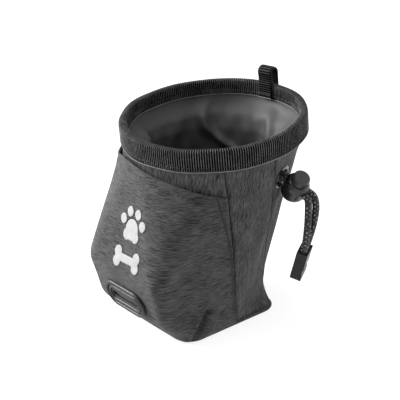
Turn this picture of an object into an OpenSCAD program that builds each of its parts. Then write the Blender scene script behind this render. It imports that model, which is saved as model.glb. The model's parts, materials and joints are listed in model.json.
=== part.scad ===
// Drawstring treat pouch with a front pocket that dispenses waste bags.
// Frame: origin at the centre of the base's underside, +Z up, pocket towards -Y, cord lock on the +X side.

/* [Body] */
// Half the width of the square base
base_half = 33; // [30:1:36]
// Radius of the base's corners
base_corner = 10; // [8:1:12]
// Height of the rim's top edge at its centre
rim_z = 116; // [112:1:122]
// How far the rim's centre sits behind the base's centre
rim_y = 17; // [15:1:19]
// Slope of the mouth, higher at the back
rim_tilt = 3; // [2:0.5:4]
// Thickness of the body fabric
shell_t = 1.1; // [0.9:0.1:1.2]

/* [Rim] */
// Outer radius of the rim binding
rim_r = 53; // [52:0.5:54]
// Height of the folded binding tape
binding_h = 12; // [11:0.5:13]
// Thickness of the binding tape
binding_t = 0.8; // [0.6:0.1:0.9]
// Width of the hang loop's webbing
loop_w = 9.5; // [8:0.5:12]
// Height of the hang loop above the rim
loop_h = 13; // [12:0.5:16]
// Turn of the hang loop round the rim from the front
loop_turn = 190; // [180:1:200]

/* [Pocket] */
// Height of the pocket's top edge at the front
hem_z = 95.5; // [94:0.5:96.5]
// Fall of the pocket's top edge towards the right, in degrees
hem_lean = 11.5; // [9:0.5:12]
// Height of the stitched hem band
hem_h = 13; // [11:1:14]
// Half-length of the pocket's bulge
bulge_half = 26; // [24:1:28]
// Radius of the bulge's edges
bulge_r = 8; // [7:0.5:9]

/* [Dispenser grommet] */
// Overall length of the grommet
grommet_l = 36; // [34:0.5:38]
// Overall height of the grommet
grommet_w = 17; // [16:0.5:18]
// Length of the dispensing slot
slot_l = 23; // [21:0.5:24]
// Height of the dispensing slot
slot_w = 3; // [2.5:0.5:4]

/* [Drawcord] */
// Radius of the cord
cord_r = 2; // [1.8:0.1:2]
// Radius of the cord's ring in its channel
ring_r = 40.5; // [40.2:0.1:40.8]
// Number of gathering tabs round the channel
tab_count = 12; // [12:1:12]
// Outer radius of the lock's barrel
lock_r = 7.3; // [7.2:0.1:7.4]
// Press travel of the lock's button
press = 3.5; // [3:0.5:3.5]
// Length of the cord end
end_l = 19.7; // [18:0.1:21]

/* [Hidden] */
$fn = 64;
shell_fn = 96;
corner_fn = 32;
gap = 0.1;
far = 200;

// Layers of the rim, from the outside in
shell_r = rim_r - binding_t - gap;
hoop_r = shell_r - shell_t - 0.15;
hoop_t = 0.9;
lining_r = hoop_r - hoop_t - 0.15;
lining_t = 0.5;
inner_r = lining_r - lining_t - gap;
straight_h = 14;
// How far the straight wall at the rim steps in from the tapered body below it
rim_step = 0.08;

// Base stack
piping_r = 1.1;
wall_z = 2 * piping_r + 0.2;
panel_half = base_half - 0.8;
board_z = 1.35;
board_t = 1.4;
floor_z = 3;
lining_inset = 2.3;

// Seams between the body panels, as y = start - slope * z
front_seam = [5, 0.137];
back_seam = [30, 0.131];
tilt_of = function(seam) atan(seam[1]);

// Pocket
bulge_top = [-45.3, 42];
bulge_low = [-39.3, 15.5];
pocket_t = 1.2;
pocket_disc = [46, 8];
hem_ends = [-25, 31];

// Grommet, on the flat between the bulge's two edges
grommet_at = [0, -49.1, 22.6];
grommet_lean = atan((bulge_low[0] - bulge_top[0]) / (bulge_top[1] - bulge_low[1]));
neck_l = 28;
neck_w = 10.4;

// Printed mark, above the bulge
print_at = [3, 62];
print_scale = 1.4;
print_t = 0.3;

// Eyelet, in a dent of the body where the cord pulls the cloth in
eyelet_at = [45.54, 27.19, 87.94];
eyelet_turn = [0, 106.3, 20.1];
eyelet_r = 4.6;
eyelet_flange = 6.8;
dent_flat = 7.6;
dent_slope = 35;
lining_gap = 1.7;

// Lock, and the cord's straight run through it
lock_turn = [23.6, 32, 30.5];
lock_reach = 9.7;
cord_run = 11;
cord_gap = 2.1;
bend_gap = 1.7;
cord_dir = [cos(lock_turn[1]) * cos(lock_turn[2]), cos(lock_turn[1]) * sin(lock_turn[2]), -sin(lock_turn[1])];
lock_at = eyelet_at + lock_reach * cord_dir;
tail_at = lock_at + (cord_run + bend_gap) * cord_dir;

// Sideways direction between the two cords at the lock
lock_side = [
    -cos(lock_turn[0]) * sin(lock_turn[2]) + sin(lock_turn[0]) * sin(lock_turn[1]) * cos(lock_turn[2]),
    cos(lock_turn[0]) * cos(lock_turn[2]) + sin(lock_turn[0]) * sin(lock_turn[1]) * sin(lock_turn[2]),
    sin(lock_turn[0]) * cos(lock_turn[1])
];

// Channel of the drawcord, a level below the rim
channel_at = [0, rim_y - 2.5, 89];
tab_w = 8.4;
tab_d = 5.4;
tab_h = 7.6;
tab_start = 30.6;

// Cord end
end_at = [61.5, 29.6, 48.6];
end_turn = [13.7, 16.6, 32.1];
end_side = [-0.46, 0.858, 0.227];
end_up = [0.36, -0.0525, 0.931];
end_w = 6.4;
end_d = 10.2;
end_wall = 0.8;

// Hang loop: thickness, and the inner faces of its inner and outer legs
loop_t = 1.2;
loop_in = sqrt(pow(inner_r - binding_t - gap, 2) - pow(loop_w / 2, 2)) - loop_t;
loop_out = rim_r + gap;
loop_mid = (loop_in + loop_out + loop_t) / 2;
loop_pivot = 3;

// ---- Frames and shared shapes ----

// Places children in the rim's frame: its top edge is at z 0 there
module rim_frame() {
    translate([0, rim_y, rim_z]) rotate([rim_tilt, 0, 0]) children();
}

// Places children at an angle round the rim, with x along the rim and y outwards
module on_rim(turn) {
    rim_frame() rotate([0, 0, turn + 180]) children();
}

module channel_frame() {
    translate(channel_at) rotate([rim_tilt, 0, 0]) children();
}

// Origin at the lock's centre, x along the cord, z along the button
module lock_frame() {
    translate(lock_at) rotate(lock_turn) children();
}

module grommet_frame() {
    translate(grommet_at) rotate([90 + grommet_lean, 0, 0]) children();
}

module eyelet_frame() {
    translate(eyelet_at) rotate(eyelet_turn) children();
}

module end_frame() {
    translate(end_at) rotate(end_turn) children();
}

// Square plate with round corners, resting on z 0
module plate(half, corner, h) {
    flat = half - corner;
    translate([-half, -flat, 0]) cube([2 * half, 2 * flat, h]);
    translate([-flat, -half, 0]) cube([2 * flat, 2 * half, h]);
    for (x = [-flat, flat], y = [-flat, flat])
        translate([x, y, 0]) cylinder(r = corner, h = h);
}

// Body from the base's outline up to the round rim
module body_hull(half, low, r, top) {
    hull() {
        translate([0, 0, low]) plate(half, base_corner, 0.1, $fn = corner_fn);
        rim_frame() translate([0, 0, -straight_h]) cylinder(r = r, h = gap, $fn = shell_fn);
    }
    rim_frame() translate([0, 0, gap / 2 - straight_h]) cylinder(r = r - rim_step, h = straight_h - gap / 2 + top);
}

// Flat-bottomed dent round the eyelet, grown by t on every side
module body_dent(t) {
    flat = dent_flat + t * tan(dent_slope / 2);
    reach = 25;
    eyelet_frame() hull() {
        translate([0, 0, -t]) cylinder(r = flat, h = 0.1, $fn = 48);
        translate([0, 0, reach * tan(dent_slope) - t]) cylinder(r = flat + reach, h = 0.1, $fn = 48);
    }
}

module body_wall() {
    difference() {
        body_hull(base_half, wall_z, shell_r, -binding_t - gap);
        body_dent(0);
        difference() {
            body_hull(base_half - shell_t, wall_z - 1, shell_r - shell_t, 5);
            body_dent(shell_t);
        }
    }
}

// Half space in front of a seam plane, moved back by shift
module before_seam(seam, shift) {
    translate([0, seam[0] + shift, 0]) rotate([tilt_of(seam), 0, 0])
        translate([-far / 2, -far, -far / 2]) cube([far, far, 2 * far]);
}

// Stadium outline, centred, length along x
module stadium(l, w, h) {
    flat = (l - w) / 2;
    translate([-flat, -w / 2, 0]) cube([2 * flat, w, h]);
    for (x = [-flat, flat]) translate([x, 0, 0]) cylinder(r = w / 2, h = h);
}

// Round ridge that follows a stadium
module stadium_ridge(l, w, r) {
    flat = (l - w) / 2;
    for (side = [-1, 1]) {
        translate([-flat, side * w / 2, 0]) rotate([0, 90, 0]) cylinder(r = r, h = 2 * flat, $fn = 24);
        translate([side * flat, 0, 0]) rotate([0, 0, side * 90 - 180])
            rotate_extrude(angle = 180) translate([w / 2, 0]) circle(r = r, $fn = 24);
    }
}

// Two cords side by side along x, from x = start
module cord_pair(r, start, l) {
    for (side = [-1, 1])
        translate([start, side * cord_gap, 0]) rotate([0, 90, 0]) cylinder(r = r, h = l);
}

// ---- Base ----

module base_panel() {
    color("#202124") plate(panel_half, base_corner - 0.8, 1.2);
}

module base_board() {
    color("#3a3b3d") translate([0, 0, board_z]) plate(base_half - 2.4, base_corner - 2.4, board_t);
}

// Welt round the base's seam
module base_piping() {
    half = base_half + 0.5;
    flat = half - base_corner;
    color("#151515") translate([0, 0, piping_r]) for (turn = [0, 90, 180, 270]) rotate([0, 0, turn]) {
        translate([half, -flat, 0]) rotate([-90, 0, 0]) cylinder(r = piping_r, h = 2 * flat);
        translate([flat, flat, 0]) rotate_extrude(angle = 90)
            translate([base_corner, 0]) circle(r = piping_r);
    }
}

// ---- Body panels ----

module front_panel() {
    color("#4b4b4d") intersection() {
        body_wall();
        before_seam(front_seam, -gap / 2);
    }
}

module side_strip() {
    intersection() {
        difference() {
            body_wall();
            before_seam(front_seam, gap / 2);
        }
        before_seam(back_seam, -gap / 2);
    }
}

module right_side_panel() {
    color("#48484a") intersection() {
        side_strip();
        translate([0, -far / 2, 0]) cube(far);
    }
}

module left_side_panel() {
    color("#48484a") intersection() {
        side_strip();
        translate([-far, -far / 2, 0]) cube(far);
    }
}

module back_panel() {
    color("#454547") difference() {
        body_wall();
        before_seam(back_seam, gap / 2);
        eyelet_frame() translate([0, 0, -6]) cylinder(r = eyelet_r + 0.8, h = 12);
    }
}

module lining_bag() {
    color("#6f7072") difference() {
        body_hull(base_half - lining_inset, floor_z, lining_r, -binding_t - gap);
        body_dent(shell_t + lining_gap);
        difference() {
            body_hull(base_half - lining_inset - lining_t, floor_z + lining_t, lining_r - lining_t, 5);
            body_dent(shell_t + lining_gap + lining_t);
        }
        eyelet_frame() translate([0, 0, -8]) cylinder(r = 6.2, h = 8);
    }
}

// ---- Rim ----

module rim_hoop() {
    color("#d8d8d4") rim_frame() rotate_extrude($fn = shell_fn)
        translate([hoop_r - hoop_t, 0.5 - binding_h]) square([hoop_t, binding_h - 0.5 - binding_t - gap]);
}

// Tape folded over the rim's edge
module rim_binding() {
    leg = inner_r - binding_t;
    color("#1b1b1c") rim_frame() rotate_extrude($fn = shell_fn) polygon([
        [leg, -binding_h], [inner_r, -binding_h], [inner_r, -binding_t], [rim_r - binding_t, -binding_t],
        [rim_r - binding_t, -binding_h], [rim_r, -binding_h], [rim_r, -0.4], [rim_r - 0.4, 0],
        [leg + 0.4, 0], [leg, -0.4]
    ]);
}

// Webbing ends sewn to the inside and the outside of the binding
module hang_loop_tails() {
    color("#161617") on_rim(loop_turn) for (y = [loop_in, loop_out])
        translate([-loop_w / 2, y, -binding_h]) cube([loop_w, loop_t, binding_h + 0.4]);
}

// Upstanding part of the loop, clear of the tails so that it can lean
module hang_loop() {
    outer = (loop_out + loop_t - loop_in) / 2;
    color("#1a1a1b") on_rim(loop_turn) translate([-loop_w / 2, loop_mid, loop_pivot]) rotate([90, 0, 90])
        linear_extrude(loop_w) difference() {
            union() {
                translate([-outer, 0]) square([2 * outer, loop_h - loop_pivot - outer]);
                translate([0, loop_h - loop_pivot - outer]) circle(r = outer);
            }
            translate([-outer + loop_t, -1]) square([2 * (outer - loop_t), loop_h - loop_pivot - outer + 1]);
            translate([0, loop_h - loop_pivot - outer]) circle(r = outer - loop_t);
        }
}

// ---- Pocket ----

// Pocket's outer form, pulled in by inset
module pocket_hull(inset, low) {
    hull() {
        for (x = [-bulge_half, bulge_half], at = [bulge_top, bulge_low])
            translate([x, at[0], at[1]]) sphere(r = bulge_r - inset, $fn = 32);
        hem_frame() translate([0, pocket_disc[1], 0]) cylinder(r = pocket_disc[0] - inset, h = 0.5, $fn = shell_fn);
        translate([0, 0, low]) plate(base_half + 1.5 - inset, base_corner, 0.1, $fn = corner_fn);
    }
}

// Frame whose z 0 plane holds the pocket's top edge
module hem_frame() {
    translate([0, 0, hem_z]) rotate([0, hem_lean, 0]) children();
}

// Everything below the top edge, lowered by drop
module below_hem(drop) {
    hem_frame() translate([-far / 2, -far / 2, -far - drop]) cube(far);
}

// Pocket's fabric over the bulge and along the body's sides, up to the seams
module pocket_wall() {
    intersection() {
        difference() {
            union() {
                pocket_hull(0, wall_z);
                body_hull(base_half + gap + pocket_t, wall_z, shell_r + gap + pocket_t, 0);
            }
            pocket_hull(pocket_t, wall_z - 1);
            body_hull(base_half + gap, wall_z - 1, shell_r + gap, 1);
        }
        before_seam(front_seam, -gap);
        below_hem(0);
        rim_frame() translate([-far / 2, -far / 2, -far - binding_h - 0.8]) cube(far);
    }
}

// Front region between two ends, above a line set below the top edge
module hem_region(left, right, drop) {
    difference() {
        translate([left, -70, 60]) cube([right - left, 50, 60]);
        below_hem(drop);
    }
}

module pocket_panel() {
    color("#535355") difference() {
        pocket_wall();
        hem_region(hem_ends[0] - 0.4, hem_ends[1] + 0.4, hem_h);
        grommet_frame() translate([0, 0, -6]) stadium(neck_l + 0.4, neck_w + 0.4, 12);
    }
}

module pocket_hem() {
    color("#4e4e50") intersection() {
        pocket_wall();
        hem_region(hem_ends[0], hem_ends[1], hem_h - 0.5);
    }
}

// ---- Dispenser grommet ----

module grommet_face() {
    color("#2a2b2d") grommet_frame() difference() {
        union() {
            translate([0, 0, 0.15]) stadium(grommet_l, grommet_w, 1);
            translate([0, 0, -2.8]) stadium(neck_l, neck_w, 3);
            translate([0, 0, 1.15]) stadium_ridge(grommet_l - 2.4, grommet_w - 2.4, 1.1);
            translate([0, 0, 1.15]) stadium_ridge(grommet_l - 8.2, grommet_w - 8.2, 0.9);
        }
        translate([0, 0, -4]) stadium(slot_l, slot_w, 8);
    }
}

// Washer inside the pocket that holds the grommet's neck
module grommet_back() {
    color("#202123") grommet_frame() translate([0, 0, -2.7]) difference() {
        stadium(grommet_l - 2, grommet_w - 2, 1.2);
        translate([0, 0, -1]) stadium(neck_l + 0.2, neck_w + 0.2, 4);
    }
}

// Paw above a bone, in the plane
module paw_and_bone() {
    translate([0, 4]) circle(r = 4.6);
    for (side = [-1, 1]) {
        translate([side * 3.1, 1.6]) circle(r = 2.6);
        translate([side * 2.9, 11.2]) circle(r = 2.2);
        translate([side * 7, 7.2]) circle(r = 2.2);
    }
    translate([-6, -10.4]) square([12, 3.4]);
    for (x = [-6.6, 6.6], y = [-10.7, -6.7]) translate([x, y]) circle(r = 2.5);
}

// Print on the pocket's front, a skin over its fabric
module printed_mark() {
    color("#dddddd") intersection() {
        translate([print_at[0], 0, print_at[1]]) rotate([90, 0, 0]) linear_extrude(far / 2)
            scale(print_scale) paw_and_bone($fn = 40);
        difference() {
            pocket_hull(-gap - print_t, wall_z);
            pocket_hull(-gap, wall_z - 1);
        }
    }
}

// ---- Eyelet ----

module eyelet_barrel() {
    color("#9a9ca0") eyelet_frame() rotate_extrude() polygon([
        [eyelet_r, -2.4], [eyelet_r + 0.6, -2.4], [eyelet_r + 0.6, 0.1], [eyelet_flange, 0.1],
        [eyelet_flange, 0.4], [eyelet_r + 1.4, 0.9], [eyelet_r + 0.4, 0.8], [eyelet_r, 0.3]
    ]);
}

// Washer clinched on the fabric's inner side
module eyelet_washer() {
    color("#8d8f93") eyelet_frame() rotate_extrude()
        translate([eyelet_r + 0.7, -2.1]) square([1.8, 0.6]);
}

// ---- Drawcord ----

module drawcord_ring() {
    color("#141414") channel_frame() rotate_extrude($fn = shell_fn) translate([ring_r, 0]) circle(r = cord_r);
}

// Straight run through the eyelet and the lock
module drawcord_run() {
    start = -lock_reach - 2.6;
    color("#141414") lock_frame() cord_pair(cord_r, start, cord_run - start);
}

// Cubic curve through four control points
function bezier(p, t) = pow(1 - t, 3) * p[0] + 3 * pow(1 - t, 2) * t * p[1]
    + 3 * (1 - t) * pow(t, 2) * p[2] + pow(t, 3) * p[3];

// Control points of one hanging cord; bow sets how far it swings out
function tail_curve(side, bow) = [
    tail_at + side * cord_gap * lock_side,
    tail_at + side * cord_gap * lock_side + bow * cord_dir,
    end_at + side * cord_gap * end_side + (bow + 4) * end_up,
    end_at + side * cord_gap * end_side + 0.8 * end_up
];

// Chain of short cords along a curve
module cord_along(curve, steps) {
    for (i = [0:steps - 1]) hull() {
        translate(bezier(curve, i / steps)) sphere(r = cord_r, $fn = 16);
        translate(bezier(curve, (i + 1) / steps)) sphere(r = cord_r, $fn = 16);
    }
}

module drawcord_tail() {
    color("#141414") difference() {
        union() {
            cord_along(tail_curve(-1, 6), 9);
            cord_along(tail_curve(1, 10), 9);
        }
        lock_frame() translate([-far + cord_run + 2 * bend_gap, -far / 2, -far / 2]) cube(far);
        end_frame() translate([-5, -8, -6]) cube([10, 16, 7.2]);
    }
}

// ---- Cord lock ----

module lock_barrel() {
    bore = 4.95;
    slot_h = cord_r + 0.05;
    color("#232426") lock_frame() difference() {
        rotate_extrude() polygon(concat(
            [[0, -9.3]],
            [for (a = [-60:12:0]) [lock_r * cos(a) - (1 - cos(a)) * 0.2, -3.2 + 7 * sin(a)]],
            [[lock_r, 1.5], [lock_r - 0.5, 3.6], [lock_r - 1.6, 5.2], [lock_r - 2.2, 5.5], [0, 5.5]]
        ));
        translate([0, 0, -8.3]) cylinder(r = bore, h = 20);
        cord_pair(slot_h, -far / 2, far);
        translate([-far / 2, -cord_gap, -slot_h]) cube([far, 2 * cord_gap, 2 * slot_h]);
    }
}

// Sprung plunger with a slot for the two cords
module lock_button() {
    r = 4.8;
    clear = cord_r + 0.1;
    color("#4a4b4d") lock_frame() difference() {
        union() {
            translate([0, 0, -3.3]) cylinder(r = r, h = 12.6);
            translate([0, 0, 9.3]) cylinder(r1 = r, r2 = r - 0.7, h = 0.7, $fn = 64);
        }
        translate([-far / 2, -cord_gap - clear, -clear]) cube([far, 2 * (cord_gap + clear), 2 * clear + press]);
    }
}

module lock_spring() {
    turns = 4;
    steps = 12;
    low = -7.85;
    rise = 4.1;
    at = function(i) [3.4 * cos(360 * i / steps), 3.4 * sin(360 * i / steps), low + rise * i / (turns * steps)];
    color("#b9bbbe") lock_frame() for (i = [0:turns * steps - 1]) hull() {
        translate(at(i)) sphere(r = 0.35, $fn = 8);
        translate(at(i + 1)) sphere(r = 0.35, $fn = 8);
    }
}

// ---- Cord end ----

module end_block(w, d, low, high) {
    translate([-w / 2, -d / 2, low]) cube([w, d, high - low]);
}

// Open-topped moulded sleeve
module cord_end_shell() {
    color("#2c2d2f") end_frame() difference() {
        end_block(end_w, end_d, -end_l, 0);
        end_block(end_w - 2 * end_wall, end_d - 2 * end_wall, -end_l - 1, 1);
        translate([0, 0, -end_l - 1]) end_block(end_w - 1, end_d - 1, 0, 2.6);
        translate([end_w / 2 + 5.5, 0, -13]) rotate([90, 0, 0]) cylinder(r = 6, h = far, center = true);
    }
}

// Plug snapped into the sleeve's lower end
module cord_end_plug() {
    color("#1c1d1e") end_frame() {
        end_block(end_w - 1.2, end_d - 1.2, -end_l, -end_l + 1.5);
        end_block(end_w - 2.1, end_d - 2.1, -end_l + 1.4, -end_l + 3.6);
    }
}

// Melted ends of the two cords, held inside the sleeve
module cord_knot() {
    bulb_r = 2.05;
    bulb_z = -14;
    half = end_d / 2 - end_wall - bulb_r - gap;
    color("#141414") end_frame() for (y = [-half, half]) translate([0, y, bulb_z])
        rotate_extrude() polygon(concat(
            [[0, -bulb_r]],
            [for (a = [-75:15:15]) [bulb_r * cos(a), bulb_r * sin(a)]],
            [[cord_r, 0.9], [cord_r, -bulb_z - 0.5], [0, -bulb_z - 0.5]]
        ));
}

// ---- Gathering channel ----

// Pleat of the channel round the cord; the set draws in together
module gather_tab(index) {
    color("#77787a") channel_frame() rotate([0, 0, tab_start + (index - 1) * 360 / tab_count]) difference() {
        translate([ring_r - tab_d / 2, -tab_w / 2, -tab_h / 2]) cube([tab_d, tab_w, tab_h]);
        rotate_extrude($fn = shell_fn) translate([ring_r, 0]) circle(r = cord_r + 0.25);
    }
}

base_panel();
base_board();
base_piping();
front_panel();
right_side_panel();
left_side_panel();
back_panel();
lining_bag();
rim_hoop();
rim_binding();
hang_loop_tails();
hang_loop();
pocket_panel();
pocket_hem();
grommet_face();
grommet_back();
printed_mark();
eyelet_barrel();
eyelet_washer();
drawcord_ring();
drawcord_run();
drawcord_tail();
lock_barrel();
lock_button();
lock_spring();
cord_end_shell();
cord_end_plug();
cord_knot();
for (index = [1:tab_count]) {
    name = str("gather_tab_", index < 10 ? "0" : "", index);
    gather_tab(index);
}
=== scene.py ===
"""Looks of a drawstring treat pouch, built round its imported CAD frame."""

import json
import math

import bpy
import numpy as np
from mathutils import Matrix, Vector


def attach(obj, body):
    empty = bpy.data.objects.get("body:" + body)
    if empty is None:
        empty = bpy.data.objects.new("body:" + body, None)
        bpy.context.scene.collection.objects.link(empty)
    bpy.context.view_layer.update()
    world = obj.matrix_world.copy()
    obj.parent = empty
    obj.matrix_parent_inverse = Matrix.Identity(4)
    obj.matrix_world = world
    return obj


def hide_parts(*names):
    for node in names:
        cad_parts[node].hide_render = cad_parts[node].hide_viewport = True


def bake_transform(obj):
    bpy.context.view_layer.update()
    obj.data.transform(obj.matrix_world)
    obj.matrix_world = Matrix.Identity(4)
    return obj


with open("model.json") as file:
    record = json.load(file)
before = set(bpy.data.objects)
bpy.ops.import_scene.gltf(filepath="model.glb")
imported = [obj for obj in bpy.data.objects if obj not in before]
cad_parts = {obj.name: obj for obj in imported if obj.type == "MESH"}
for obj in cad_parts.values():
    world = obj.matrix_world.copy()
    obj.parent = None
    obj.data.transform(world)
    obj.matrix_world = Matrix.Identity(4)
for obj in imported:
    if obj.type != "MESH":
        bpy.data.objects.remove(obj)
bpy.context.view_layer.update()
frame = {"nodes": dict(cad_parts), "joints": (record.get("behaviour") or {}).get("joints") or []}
JOINTS = {joint["name"]: joint for joint in frame["joints"]}

# Lengths are in millimetres until a mesh is made.
MM = 0.001

# Camera: where it looks from, how far away, at what, and its lens
AZIMUTH = math.radians(52.0)
ELEVATION = math.radians(23.8)
ROLL = math.radians(-2.24)
DISTANCE = 685.0
TARGET = np.array([7.1, 0.0, 69.7])
LENS = 109.4

# Rim: the tilted circle's centre and tilt, and the radius of each layer in it
RIM_Y = 17.0
RIM_Z = 116.0
RIM_TILT = math.radians(3)
RIM_R = 53.0
SHELL_R = 52.0
LINING_R = 49.4
TAPE_INNER_R = 48.9
# how far the sewn tape dips on the camera's side
RIM_DIP = 1.1
# height of the tape outside and inside, and of its rows of stitches and the lining's top under the rim
TAPE_H = 12.0
TAPE_INNER_H = 8.8
OUTER_ROW = -9.5
INNER_ROW = -6.3
LINING_TOP = -5.5
TAPE_RIBS = 250

# Hang loop: its place round the rim, width, the radius of its legs, height above the rim, and rib pitch
LOOP_TURN = math.radians(190)
LOOP_W = 9.5
LOOP_INNER_R = 47.5
LOOP_OUTER_R = 53.9
LOOP_TOP = 10.0
LOOP_RIB = 1.35

# Base: height of its cloth, half its width, how square it is; the body's axis leans back by AXIS_SHIFT
BASE_Z = 1.4
BASE_HALF = 33.0
BASE_SQUARENESS = 9.0
AXIS_SHIFT = 17.7

# Cloth: a mean radius that turns angles into lengths, and thickness
CLOTH_R = 45.0
SHELL_T = 0.8
# the body's seams, as y = start - slope * z, are followed over SEAM_H
SEAM_H = 99.0
FRONT_SEAM = (2.2, 0.137)
BACK_SEAM = (30.0, 0.131)

# Pocket: height and slope of its mouth, first guess of its height, thickness, radius at its darts
HEM_Z = 95.5
HEM_SLOPE = math.tan(math.radians(11.5))
POCKET_H = 90.0
POCKET_T = 0.7
DART_R = 44.0

# Print: its middle, and the pocket's radius there
PRINT_X = 5.0
PRINT_Z = 60.0
PRINT_R = 50.0

# Drawcord: its radius, half the distance between its two strands, and its radius inside the channel
CORD_R = 2.0
CORD_GAP = 2.1
CHANNEL_CORD_R = 1.6
BRAID_PITCH = 2.4
BRAID_TURNS = 3
# the strands leave the straight run this far before the point they swing about
BEND_BEFORE = 3.7
CORD_DIR = np.array(JOINTS["drawcord_pull"]["axis"])
BUTTON_DIR = -np.array(JOINTS["lock_button_press"]["axis"])
CORD_SIDE = np.cross(BUTTON_DIR, CORD_DIR)
TAIL_AT = np.array(JOINTS["cord_swing"]["pos_m"]) / MM
TAIL_TO_LOCK = 12.7
LOCK_TO_EYELET = 9.7
EYELET_AT = TAIL_AT - (TAIL_TO_LOCK + LOCK_TO_EYELET) * CORD_DIR
# outwards from the eyelet's face, and the radius of the hole in the cloth
EYELET_DIR = np.array([0.9013, 0.3299, -0.2807])
EYELET_HOLE = 5.5
# upwards along the cord end, from which the strands rise
END_AT = np.array(JOINTS["cord_end_swing"]["pos_m"]) / MM
END_SIDE = np.array(JOINTS["cord_end_swing"]["axis"])
END_UP = np.array([0.36, -0.0525, 0.931])

# Gathering channel: its tabs, the angle of the first one, and the ring they form
TAB_COUNT = 12
TAB_START = math.radians(120.6)
CHANNEL_Y = 14.5
CHANNEL_Z = 89.0
CHANNEL_R = 43.8

# Streaks and yarns per metre of cloth
YARNS_PER_M = 1900.0
VERTICAL = (3500.0, 130.0, 1.0)
ACROSS = (135.0, 3500.0, 1.0)
EVEN = (2700.0, 2700.0, 2700.0)


# ---- Meshes ----

def new_object(name, verts, faces, material, smooth=True, uvs=None):
    """A mesh object from points in millimetres and faces; uvs is one (u, v) per vertex."""
    mesh = bpy.data.meshes.new(name)
    mesh.from_pydata((np.asarray(verts) * MM).tolist(), [], faces)
    mesh.validate()
    if uvs is not None:
        layer = mesh.uv_layers.new(name="UVMap")
        corner = np.zeros(len(mesh.loops), np.int32)
        mesh.loops.foreach_get("vertex_index", corner)
        layer.data.foreach_set("uv", np.asarray(uvs, np.float32)[corner].ravel())
    if smooth:
        mesh.polygons.foreach_set("use_smooth", np.ones(len(mesh.polygons), bool))
    mesh.materials.append(material)
    obj = bpy.data.objects.new(name, mesh)
    bpy.context.scene.collection.objects.link(obj)
    return obj


def grid_faces(rows, cols, wrap_rows=False, wrap_cols=False, start=0):
    """Quads over a rows by cols grid of vertices."""
    faces = []
    for i in range(rows if wrap_rows else rows - 1):
        for j in range(cols if wrap_cols else cols - 1):
            a = start + i * cols + j
            b = start + i * cols + (j + 1) % cols
            c = start + (i + 1) % rows * cols + (j + 1) % cols
            d = start + (i + 1) % rows * cols + j
            faces.append((a, b, c, d))
    return faces


def end_caps(rings, sides, start=0):
    """Faces that close both ends of a tube made of rings of vertices."""
    last = start + (rings - 1) * sides
    return [tuple(range(start, start + sides))[::-1], tuple(range(last, last + sides))]


def distances(path):
    """Distance along a path to each of its points."""
    return np.concatenate([[0], np.cumsum(np.linalg.norm(np.diff(path, axis=0), axis=1))])


def pairs(u, v):
    """One (u, v) for each point of a grid."""
    return np.stack(np.broadcast_arrays(u, v), -1).reshape(-1, 2)


def solidify(obj, thickness, offset=-1.0):
    modifier = obj.modifiers.new("thickness", "SOLIDIFY")
    modifier.thickness = thickness * MM
    modifier.offset = offset
    modifier.use_rim = True
    return obj


def sheet(name, points, material, thickness=0.0, uvs=None):
    """A grid of points (rows, cols, 3) as one smooth sheet, with thickness added on its inner side."""
    obj = new_object(name, points.reshape(-1, 3), grid_faces(*points.shape[:2]), material, uvs=uvs)
    return solidify(obj, thickness) if thickness else obj


def tube(name, path, radius, material, sides, relief=None, caps=True, pitch=1.0):
    """A round tube along a path; relief(along, around) is added to its radius."""
    path = np.asarray(path, float)
    tangent = np.gradient(path, axis=0)
    tangent /= np.linalg.norm(tangent, axis=1)[:, None]
    length = distances(path)
    normal = np.cross(tangent[0], CORD_SIDE)
    normals = []
    for t in tangent:
        normal = normal - t * (normal @ t)
        normal = normal / np.linalg.norm(normal)
        normals.append(normal)
    normals = np.array(normals)
    binormals = np.cross(tangent, normals)
    around = np.linspace(0, 2 * math.pi, sides, endpoint=False)
    r = np.full((len(path), sides), float(radius))
    if relief is not None:
        r += relief(length[:, None], around[None, :])
    cosines, sines = np.cos(around)[None, :, None], np.sin(around)[None, :, None]
    ring = normals[:, None] * cosines + binormals[:, None] * sines
    verts = (path[:, None] + r[..., None] * ring).reshape(-1, 3)
    faces = grid_faces(len(path), sides, wrap_cols=True)
    uvs = pairs(around[None, :] / (2 * math.pi), length[:, None] / pitch)
    if caps:
        faces += end_caps(len(path), sides)
    return new_object(name, verts, faces, material, uvs=uvs)


def stitches(name, points, normals, length=2.1, pitch=2.9, radius=0.23):
    """A row of thread stitches that lie on a path, as one mesh of small beads."""
    sunk, lift = 0.05, 0.12
    points = np.asarray(points, float)
    along = distances(points)
    verts, faces = [], []
    rings, sides = 5, 6
    for at in np.arange(pitch / 2, along[-1] - length / 2, pitch):
        ends = [at - length / 2, at + length / 2]
        a, b = [np.array([np.interp(e, along, points[:, k]) for k in range(3)]) for e in ends]
        n = np.array([np.interp(at, along, normals[:, k]) for k in range(3)])
        t = (b - a) / np.linalg.norm(b - a)
        n = n - t * (n @ t)
        n /= np.linalg.norm(n)
        side = np.cross(t, n)
        start = len(verts)
        for i in range(rings):
            share = i / (rings - 1)
            bow = math.sin(math.pi * share)
            r = radius * (0.35 + 0.65 * bow)
            centre = a + (b - a) * share + n * (lift * bow - sunk)
            for j in range(sides):
                turn = 2 * math.pi * j / sides
                verts.append(centre + r * (math.cos(turn) * n + math.sin(turn) * side))
        faces += grid_faces(rings, sides, wrap_cols=True, start=start)
        faces += end_caps(rings, sides, start)
    return new_object(name, np.array(verts), faces, THREAD)


def blend(obj):
    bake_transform(obj)


def cloth_uvs(phi, z):
    """Where each point lies on the flat cloth, in metres: round the body, then up it."""
    return pairs(phi * CLOTH_R * MM, z * MM)


def grid_normals(points):
    """Unit normals of a grid of points, outwards from the pouch."""
    n = np.cross(np.gradient(points, axis=1), np.gradient(points, axis=0))
    return n / np.linalg.norm(n, axis=-1, keepdims=True)


# ---- Materials ----

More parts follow.
